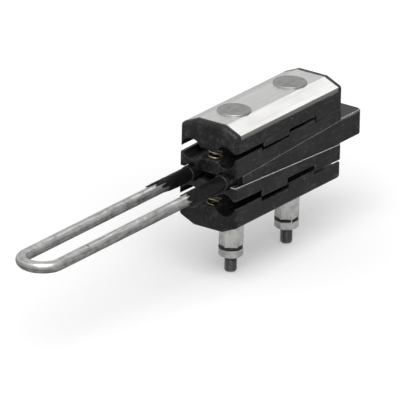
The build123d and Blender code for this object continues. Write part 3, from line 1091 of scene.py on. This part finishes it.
@dataclass
class BoltSet:
    """The two bolts with rolled threads, their washers and their long nuts.

    Args:
        head: Finish of heads and shanks.
        nut: Finish of nuts and washers.
        stud: Finish of the threads.
        ring: Finish of the nuts' rings.
        shank_radius: Radius of shank and thread.
        head_height: Height of the head.
        crown: Radius, as a share of the head's, and drop of each ring of its slightly domed top.
        rim: Radius of the head's rounded rim.
        rim_drop: Height of the rim's centre below the top.
        rim_step: Degrees between two points of the rim.
        neck_side: Side of the square neck.
        neck_height: Height of the square neck.
        thread_depth: Depth of the thread.
        pitch: Its pitch.
        threaded_length: Length of the thread.
        flank: Share of half a pitch where the thread's flank begins and ends.
        chamfer: Radius at the stud's very end, as a share of the shank's.
        sharp: Angle from which an edge is shaded sharp, in degrees.
    """

    head: ZincPlate = ZincPlate("bolt_head_zinc", (0.40, 0.40, 0.395), (0.24, 0.24, 0.235), (0.42, 0.58))
    nut: ZincPlate = ZincPlate("nut_zinc", (0.96, 0.955, 0.93), (0.52, 0.515, 0.50), (0.17, 0.32),
                               Pattern(1300.0, 3.0, 0.6, stretch=(1.0, 1.0, 0.12)))
    stud: ZincPlate = ZincPlate("dark_thread", (0.17, 0.17, 0.17), (0.08, 0.08, 0.08), (0.34, 0.5))
    ring: RingPlastic = RingPlastic("nut_ring")
    shank_radius: float = 4.95 * MM
    head_height: float = 1.8 * MM
    crown: tuple[Span, ...] = ((0.0, 0.02 * MM), (0.45, 0.03 * MM), (0.74, 0.13 * MM))
    rim: float = 1.1 * MM
    rim_drop: float = 1.3 * MM
    rim_step: int = 10
    neck_side: float = 10.0 * MM
    neck_height: float = 2.0 * MM
    thread_depth: float = 0.72 * MM
    pitch: float = 1.5 * MM
    threaded_length: float = 62.0 * MM
    flank: Span = (0.16, 0.88)
    chamfer: float = 0.80
    sharp: float = 50.0

    def thread_tree(self) -> Growth:
        """Returns the tree of a threaded stud that stands on Z = 0 and is chamfered there."""
        growth = Growth("rolled_thread")
        radius, depth = growth.given("Radius"), growth.given("Depth")
        pitch, length = growth.given("Pitch"), growth.given("Length")
        rows = growth.math("MULTIPLY", growth.math("DIVIDE", length, pitch), 10.0)
        rod = growth.node("GeometryNodeMeshCylinder", {
            "Vertices": 64, "Side Segments": rows, "Fill Segments": 3, "Radius": radius, "Depth": length})
        x, y, z = growth.places()
        up = growth.math("ADD", z, growth.math("MULTIPLY", length, 0.5))
        turn = growth.math("DIVIDE", growth.math("ARCTAN2", y, x), 2 * math.pi)
        phase = growth.math("FRACT", growth.math("ADD", growth.math("DIVIDE", up, pitch),
                                                 growth.math("SUBTRACT", 4.0, turn)))
        wave = growth.math("ABSOLUTE", growth.math("SUBTRACT", growth.math("MULTIPLY", phase, 2.0), 1.0))
        flank = growth.remap(wave, *self.flank, 0.0, 1.0)
        cut = growth.math("SUBTRACT", radius, growth.math("MULTIPLY", flank, depth))
        end = growth.math("ADD", up, growth.math("MULTIPLY", radius, self.chamfer))
        factor = growth.math("DIVIDE", growth.math("MINIMUM", cut, end), radius)
        moved = growth.vector(growth.math("MULTIPLY", x, factor), growth.math("MULTIPLY", y, factor), up)
        shaped = growth.node("GeometryNodeSetPosition", {"Geometry": rod.outputs["Mesh"], "Position": moved})
        growth.close(shaped.outputs[0])
        return growth

    def blank(self, low: Vector, high: Vector) -> bmesh.types.BMesh:
        """Makes head, square neck and plain shank on the Z axis.

        Args:
            low: Low corner of the bolt's box.
            high: High corner of the bolt's box.

        Returns:
            The closed shape.
        """
        radius = (high.x - low.x) / 2
        seat = high.z - self.head_height
        profile = [(radius * share, high.z - drop) for share, drop in self.crown]
        for degrees in range(self.rim_step, 91, self.rim_step):
            turn = math.radians(degrees)
            profile.append((radius - self.rim + self.rim * math.sin(turn),
                            high.z - self.rim_drop + self.rim * math.cos(turn)))
        shank_end = low.z + self.threaded_length
        profile += [(radius, seat), (self.shank_radius, seat), (self.shank_radius, shank_end)]
        profile.append((0.0, shank_end))
        shape = lathe(profile, 96)
        neck = bmesh.ops.create_cube(shape, size=1.0)["verts"]
        bmesh.ops.scale(shape, vec=(self.neck_side, self.neck_side, self.neck_height), verts=neck)
        bmesh.ops.translate(shape, vec=(0.0, 0.0, seat - self.neck_height / 2), verts=neck)
        return shape

    def bolt(self, label: str, tree: Growth, head_finish: Material, stud_finish: Material) -> None:
        """Makes one bolt: head, square neck, plain shank and thread.

        Args:
            label: The CAD node that it replaces.
            tree: The thread's tree.
            head_finish: Material of head and shank.
            stud_finish: Material of the thread.
        """
        low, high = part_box(label)
        x = (low.x + high.x) / 2
        shape = self.blank(low, high)
        bmesh.ops.translate(shape, vec=(x, 0.0, 0.0), verts=shape.verts)
        mesh = mesh_from(label + "_threaded", shape, head_finish)
        mesh.materials.append(stud_finish)
        thread = tree.grow(label + "_thread", stud_finish, {
            "Radius": self.shank_radius, "Depth": self.thread_depth, "Pitch": self.pitch,
            "Length": self.threaded_length})
        thread.data.transform(Matrix.Translation((x, 0.0, low.z)))
        joined = bmesh.new()
        joined.from_mesh(mesh)
        first = len(joined.faces)
        joined.from_mesh(thread.data)
        joined.faces.ensure_lookup_table()
        for face in joined.faces[first:]:
            face.material_index = 1
            face.smooth = True
        joined.to_mesh(mesh)
        joined.free()
        bpy.data.objects.remove(thread)
        mesh.set_sharp_from_angle(angle=math.radians(self.sharp))
        place(add_object(label + "_threaded", mesh), Body.FRAME, (label,))

    def build(self) -> None:
        """Makes both bolts and dresses nuts, rings and washers."""
        tree = self.thread_tree()
        head, nut, stud, ring = self.head.make(), self.nut.make(), self.stud.make(), self.ring.make()
        for end in ("front", "rear"):
            self.bolt(end + "_bolt", tree, head, stud)
            dress(end + "_nut", nut)
            dress(end + "_washer", nut)
            dress(end + "_nut_ring", ring)


@dataclass
class SpringSet:
    """The four open coil springs that hold the jaws apart.

    Args:
        finish: Finish of the wire.
        wire_radius: Radius of the wire.
        turns: Number of turns.
        end_turn: Height of the flattened turns that sit in a seat.
        eased: Shares of the height between which a coil rises; past them its turns lie flat.
    """

    finish: ZincPlate = ZincPlate("spring_wire", (0.50, 0.46, 0.34), (0.27, 0.24, 0.17), (0.24, 0.40))
    wire_radius: float = 0.7 * MM
    turns: float = 5.0
    end_turn: float = 1.2 * MM
    eased: Span = (0.13, 0.87)

    def coil_tree(self) -> Growth:
        """Returns the tree of a coil with flattened end turns, standing on Z = 0."""
        growth = Growth("open_coil")
        radius, wire = growth.given("Coil radius"), growth.given("Wire radius")
        height, turns = growth.given("Height"), growth.given("Turns")
        spiral = growth.node("GeometryNodeCurveSpiral", {
            "Resolution": 48, "Rotations": turns, "Start Radius": radius, "End Radius": radius,
            "Height": height})
        x, y, z = growth.places()
        eased = growth.remap(growth.math("DIVIDE", z, height), *self.eased, 0.0, 1.0,
                             interpolation_type="SMOOTHSTEP")
        moved = growth.vector(x, y, growth.math("MULTIPLY", eased, height))
        path = growth.node("GeometryNodeSetPosition", {"Geometry": spiral.outputs[0], "Position": moved})
        section = growth.node("GeometryNodeCurvePrimitiveCircle", {"Resolution": 12, "Radius": wire})
        coil = growth.node("GeometryNodeCurveToMesh", {
            "Curve": path.outputs[0], "Profile Curve": section.outputs[0], "Fill Caps": True})
        growth.close(coil.outputs[0])
        return growth

    def spring(self, node: str, below: Body, tree: Growth, finish: Material) -> None:
        """Makes one spring in its seat between the frame and the jaw below, and hides the CAD node.

        Args:
            node: The CAD node that it replaces.
            below: Body of the jaw below.
            tree: The coil's tree.
            finish: Material of the wire.
        """
        low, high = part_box(node)
        piece = tree.grow(node + "_coil", finish, {
            "Coil radius": (high.x - low.x) / 2 - self.wire_radius, "Wire radius": self.wire_radius,
            "Height": high.z - low.z - 2 * self.wire_radius, "Turns": self.turns})
        x = (low.x + high.x) / 2
        piece.data.transform(Matrix.Translation((x, 0.0, low.z + self.wire_radius)))
        piece.data.shade_smooth()
        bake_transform(piece)
        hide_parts(node)
        LOG.info("piece %s stretches between %s and %s", piece.name, Body.FRAME.value, below.value)

    def build(self) -> None:
        """Makes the springs in their seats."""
        tree = self.coil_tree()
        finish = self.finish.make()
        for level, below in (("upper", Body.UPPER_INNER), ("lower", Body.LOWER_OUTER)):
            for end in ("front", "rear"):
                self.spring(f"{level}_{end}_spring", below, tree, finish)


@dataclass
class Plate:
    """The extruded pressure plate."""

    finish: ExtrudedAluminium = ExtrudedAluminium("extruded_aluminium")

    def build(self) -> None:
        """Dresses the plate."""
        dress("pressure_plate", self.finish.make())


# ------------------------------------------------------------------ studio
@dataclass(frozen=True)
class Lamp:
    """A soft square lamp that looks at the clamp.

    Args:
        name: The lamp's name.
        towards: Direction from the clamp to the lamp.
        size: Side of the lamp, in metres.
        power: Its power, in watts.
        away: Its distance from the clamp, in metres.
    """

    name: str
    towards: Axes
    size: float
    power: float
    away: float = 1.6

    def hang(self) -> None:
        """Adds the lamp to the scene."""
        data = bpy.data.lights.new(self.name, "AREA")
        data.shape = "SQUARE"
        data.size = self.size
        data.energy = self.power
        made = bpy.data.objects.new(self.name, data)
        bpy.context.scene.collection.objects.link(made)
        direction = Vector(self.towards).normalized()
        made.location = (cad_box[0] + cad_box[1]) / 2 + direction * self.away
        made.rotation_mode = "QUATERNION"
        made.rotation_quaternion = direction.to_track_quat("Z", "Y")


@dataclass
class Studio:
    """A pale floor, soft lamps and the camera.

    Args:
        azimuth: Degrees from -Y towards +X at which the camera stands.
        elevation: Degrees of the camera above the level.
        roll: Degrees that the camera is turned about its axis.
        distance: From the camera to its target.
        lens: Focal length, in Blender's millimetres.
        sensor: Width of the camera's sensor, in the same.
        clip: Nearest and farthest distance that the camera sees, in metres.
        target_height: Height of the camera's target.
        offset: Shift of the camera to its right and up.
        floor_gap: Gap between the studs' ends and the floor.
        floor_reach: Half the floor's side, in metres.
        floor_colour: The floor's colour.
        floor_mirrored: Its colour as metal mirrors it.
        floor_glow: Glow that the camera sees near the clamp and far from it; the weaker glow near the clamp
            is a painted shade round it.
        floor_fade: Distances from the clamp between which the glow changes, in metres.
        ambient: Level of the surround's light.
        mirrored: Level of the surround, as metal mirrors it, at its left and right.
        rightward: Direction from its left to its right.
        lamps: The lamps.
    """

    azimuth: float = -55.26
    elevation: float = 21.61
    roll: float = 1.27
    distance: float = 10643.4 * MM
    lens: float = 1211.9
    sensor: float = 36.0
    clip: Span = (0.5, 60.0)
    target_height: float = 15.65 * MM
    offset: Span = (-48.44 * MM, -53.97 * MM)
    floor_gap: float = 0.6 * MM
    floor_reach: float = 8.0
    floor_colour: Colour = (0.80, 0.80, 0.805)
    floor_mirrored: Colour = (0.42, 0.42, 0.42)
    floor_glow: Span = (0.20, 0.40)
    floor_fade: Span = (0.12, 0.62)
    ambient: float = 0.50
    mirrored: Span = (0.90, 0.50)
    rightward: Axes = (0.57, -0.82, 0.0)
    lamps: tuple[Lamp, ...] = (
        Lamp("rear_strip", (0.77, 0.04, 0.66), 0.40, 0.95),
        Lamp("key_softbox", (-0.50, -0.36, 0.79), 1.35, 23.5),
    )

    def camera(self) -> None:
        """Sets the camera at its place and makes it the scene's."""
        azimuth, elevation, roll = (math.radians(v) for v in (self.azimuth, self.elevation, self.roll))
        level = math.cos(elevation)
        back = Vector((math.sin(azimuth) * level, -math.cos(azimuth) * level, math.sin(elevation)))
        right = Vector((math.cos(azimuth), math.sin(azimuth), 0.0))
        up = right.cross(-back)
        turned_right = right * math.cos(roll) + up * math.sin(roll)
        turned_up = -right * math.sin(roll) + up * math.cos(roll)
        data = bpy.data.cameras.new("camera")
        data.lens = self.lens
        data.sensor_width = self.sensor
        data.clip_start, data.clip_end = self.clip
        made = bpy.data.objects.new("camera", data)
        bpy.context.scene.collection.objects.link(made)
        low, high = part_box("upper_inner_jaw")
        target = Vector(((low.x + high.x) / 2, 0.0, self.target_height))
        stand = target + back * self.distance + turned_right * self.offset[0] + turned_up * self.offset[1]
        axes = Matrix((turned_right, turned_up, back)).transposed()
        made.matrix_world = Matrix.Translation(stand) @ axes.to_4x4()
        bpy.context.scene.camera = made

    def floor_finish(self, centre: Axes) -> Material:
        """Makes the floor's material: pale, white to the camera far off, with painted shade near the clamp,
        and clear from below.

        Args:
            centre: The place on the floor below the clamp.

        Returns:
            The material.
        """
        material = bpy.data.materials.new("pale_floor")
        material.use_nodes = True
        material.node_tree.nodes.clear()
        w = Wiring(material.node_tree)
        rays = w.node("ShaderNodeLightPath").outputs
        tone = w.blend(rays["Is Glossy Ray"], self.floor_colour, self.floor_mirrored)
        apart = w.measure("DISTANCE", w.node("ShaderNodeTexCoord").outputs["Object"], centre)
        # Painted shade: the glow is weaker near the clamp, so the floor shows darker round it.
        glow = w.remap(apart, *self.floor_fade, *self.floor_glow, interpolation_type="SMOOTHSTEP")
        lit = w.node("ShaderNodeBsdfDiffuse", {"Color": tone})
        glowing = w.node("ShaderNodeEmission", {
            "Color": WHITE, "Strength": w.math("MULTIPLY", rays["Is Camera Ray"], glow)})
        both = w.node("ShaderNodeAddShader", {0: lit.outputs[0], 1: glowing.outputs[0]})
        below = w.node("ShaderNodeNewGeometry").outputs["Backfacing"]
        clear = w.node("ShaderNodeBsdfTransparent")
        mix = w.node("ShaderNodeMixShader", {0: below, 1: both.outputs[0], 2: clear.outputs[0]})
        w.node("ShaderNodeOutputMaterial", {0: mix.outputs[0]})
        return material

    def floor(self) -> None:
        """Lays the floor under the studs' ends."""
        low, high = cad_box
        z, reach = low.z - self.floor_gap, self.floor_reach
        mesh = bpy.data.meshes.new("floor")
        mesh.from_pydata([(-reach, -reach, z), (reach, -reach, z), (reach, reach, z), (-reach, reach, z)],
                         [], [(0, 1, 2, 3)])
        mesh.materials.append(self.floor_finish(((low.x + high.x) / 2, 0.0, z)))
        add_object("floor", mesh)

    def world(self) -> None:
        """Lights the scene evenly, and shows the camera and the metal a white surround."""
        world = bpy.data.worlds.new("surround")
        bpy.context.scene.world = world
        world.use_nodes = True
        w = Wiring(world.node_tree)
        rays = w.node("ShaderNodeLightPath").outputs
        towards = w.node("ShaderNodeTexCoord").outputs["Generated"]
        side = w.measure("DOT_PRODUCT", towards, self.rightward)
        metal_sees = w.remap(side, -1.0, 1.0, *self.mirrored)
        strength = w.between(rays["Is Glossy Ray"], self.ambient, metal_sees)
        strength = w.between(rays["Is Camera Ray"], strength, 1.0)
        background = w.tree.nodes["Background"]
        w.plug(background.inputs["Color"], WHITE)
        w.plug(background.inputs["Strength"], strength)

    def build(self) -> None:
        """Makes camera, floor, surround and lamps."""
        bpy.context.scene.view_settings.view_transform = "Standard"
        self.camera()
        self.floor()
        self.world()
        for lamp in self.lamps:
            lamp.hang()


def main() -> None:
    """Builds the studio and every sub-assembly."""
    logging.basicConfig(level=logging.INFO, format="%(message)s")
    Studio().build()
    for assembly in (JawStack(), Plate(), Bail(), BoltSet(), SpringSet()):
        assembly.build()


if __name__ == "__main__":
    main()
